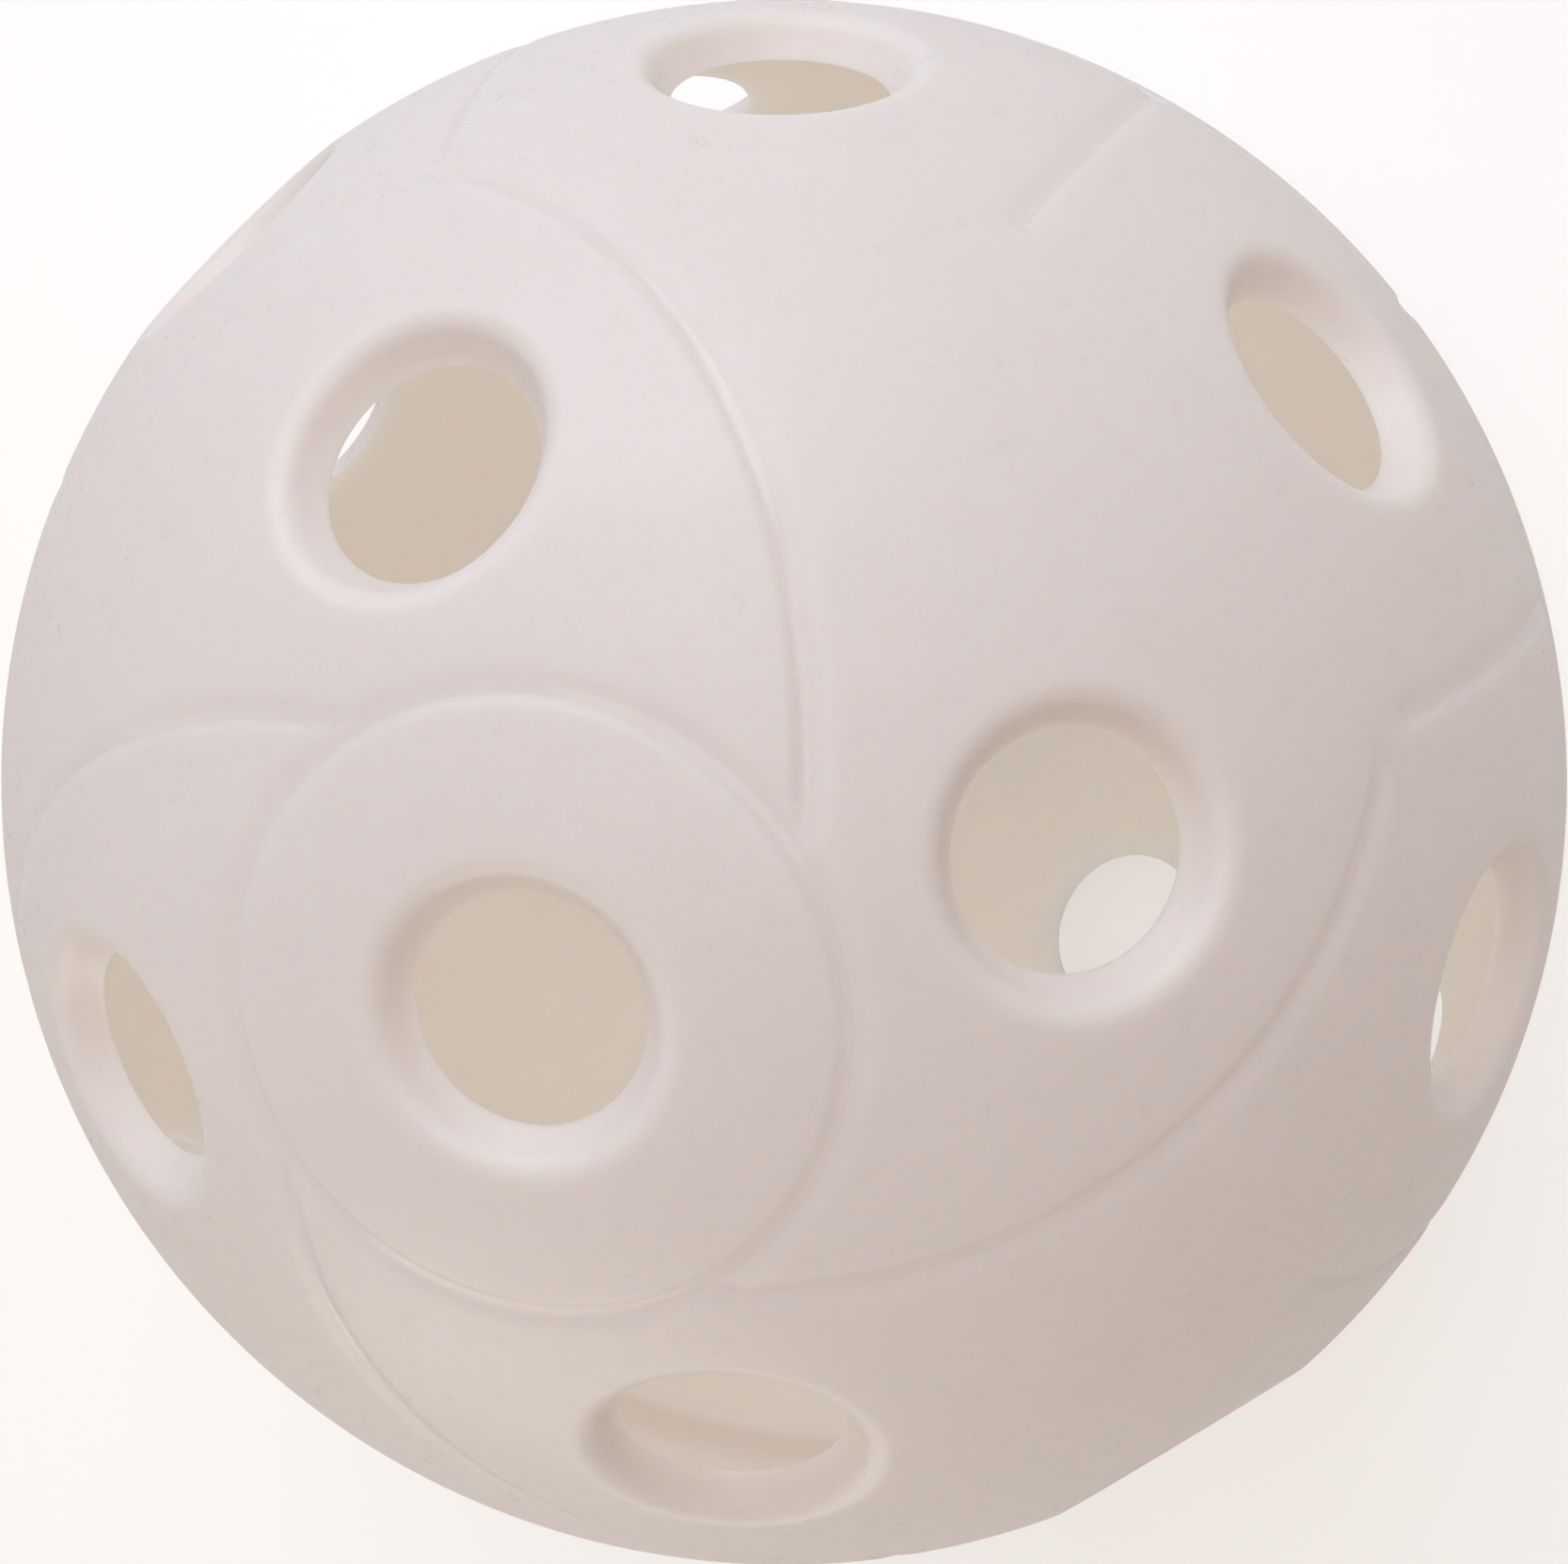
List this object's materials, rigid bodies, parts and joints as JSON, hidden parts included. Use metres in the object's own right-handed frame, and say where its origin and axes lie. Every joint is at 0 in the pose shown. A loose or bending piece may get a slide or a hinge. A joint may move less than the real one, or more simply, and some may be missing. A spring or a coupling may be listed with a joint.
{
  "type": "floorball ball",
  "caption": "Light hollow plastic floorball ball with round holes all over, moulded as two half shells that lap at the seam.",
  "frame": {"origin": "centre of the ball, on the plane of the seam", "axes": "+Z through the middle of the upper polar hole; +X points under one hole of the upper inner row and +Y under the next"},
  "size_m": [0.072, 0.072, 0.0708],
  "materials": {
    "shell": "satin white polyethylene with a fine mould grain, slightly translucent"
  },
  "bodies": {
    "root": {"upper_half_shell": "shell", "lower_half_shell": "shell"}
  },
  "joints": []
}
